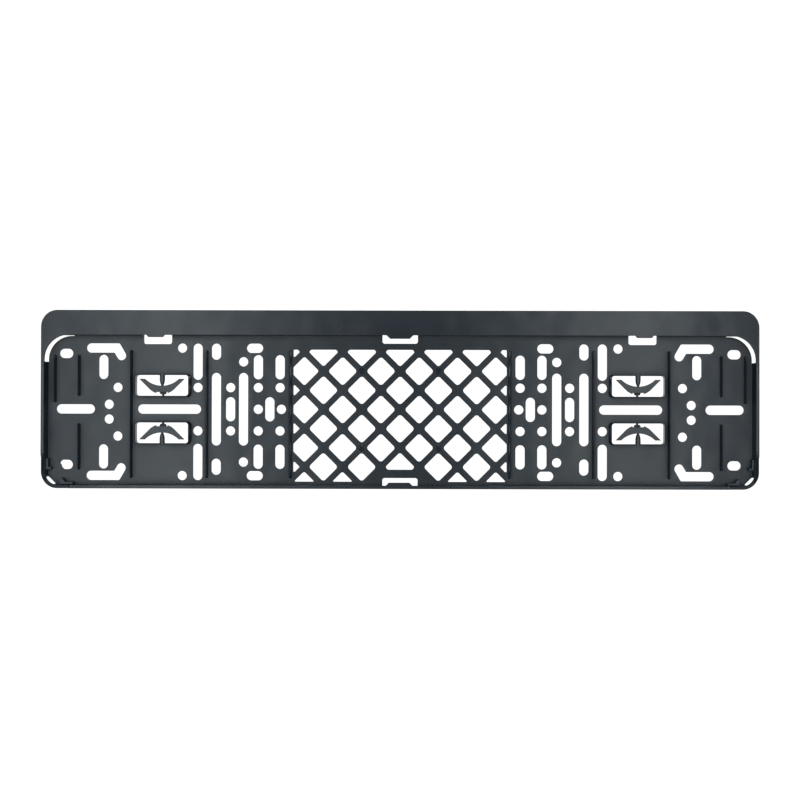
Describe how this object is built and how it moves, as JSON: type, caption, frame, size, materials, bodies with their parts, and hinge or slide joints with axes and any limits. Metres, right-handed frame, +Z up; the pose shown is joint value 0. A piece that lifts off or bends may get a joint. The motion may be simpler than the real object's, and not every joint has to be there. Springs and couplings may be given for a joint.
{
  "type": "number plate holder",
  "caption": "Moulded black holder that is screwed to a car and takes a long number plate from the front, with a broad bar, a diamond lattice, screw slots and sprung wings.",
  "frame": {"origin": "on the flat back face, where the centre line crosses the middle row of screw slots", "axes": "+X along the plate, +Z up the plate towards the broad bar, +Y out of the back, towards the car"},
  "size_m": [0.53, 0.01, 0.1316],
  "materials": {
    "moulded_plastic": "black polypropylene, moulded with a fine satin grain"
  },
  "bodies": {
    "root": {"plate_holder": "moulded_plastic"}
  },
  "joints": []
}
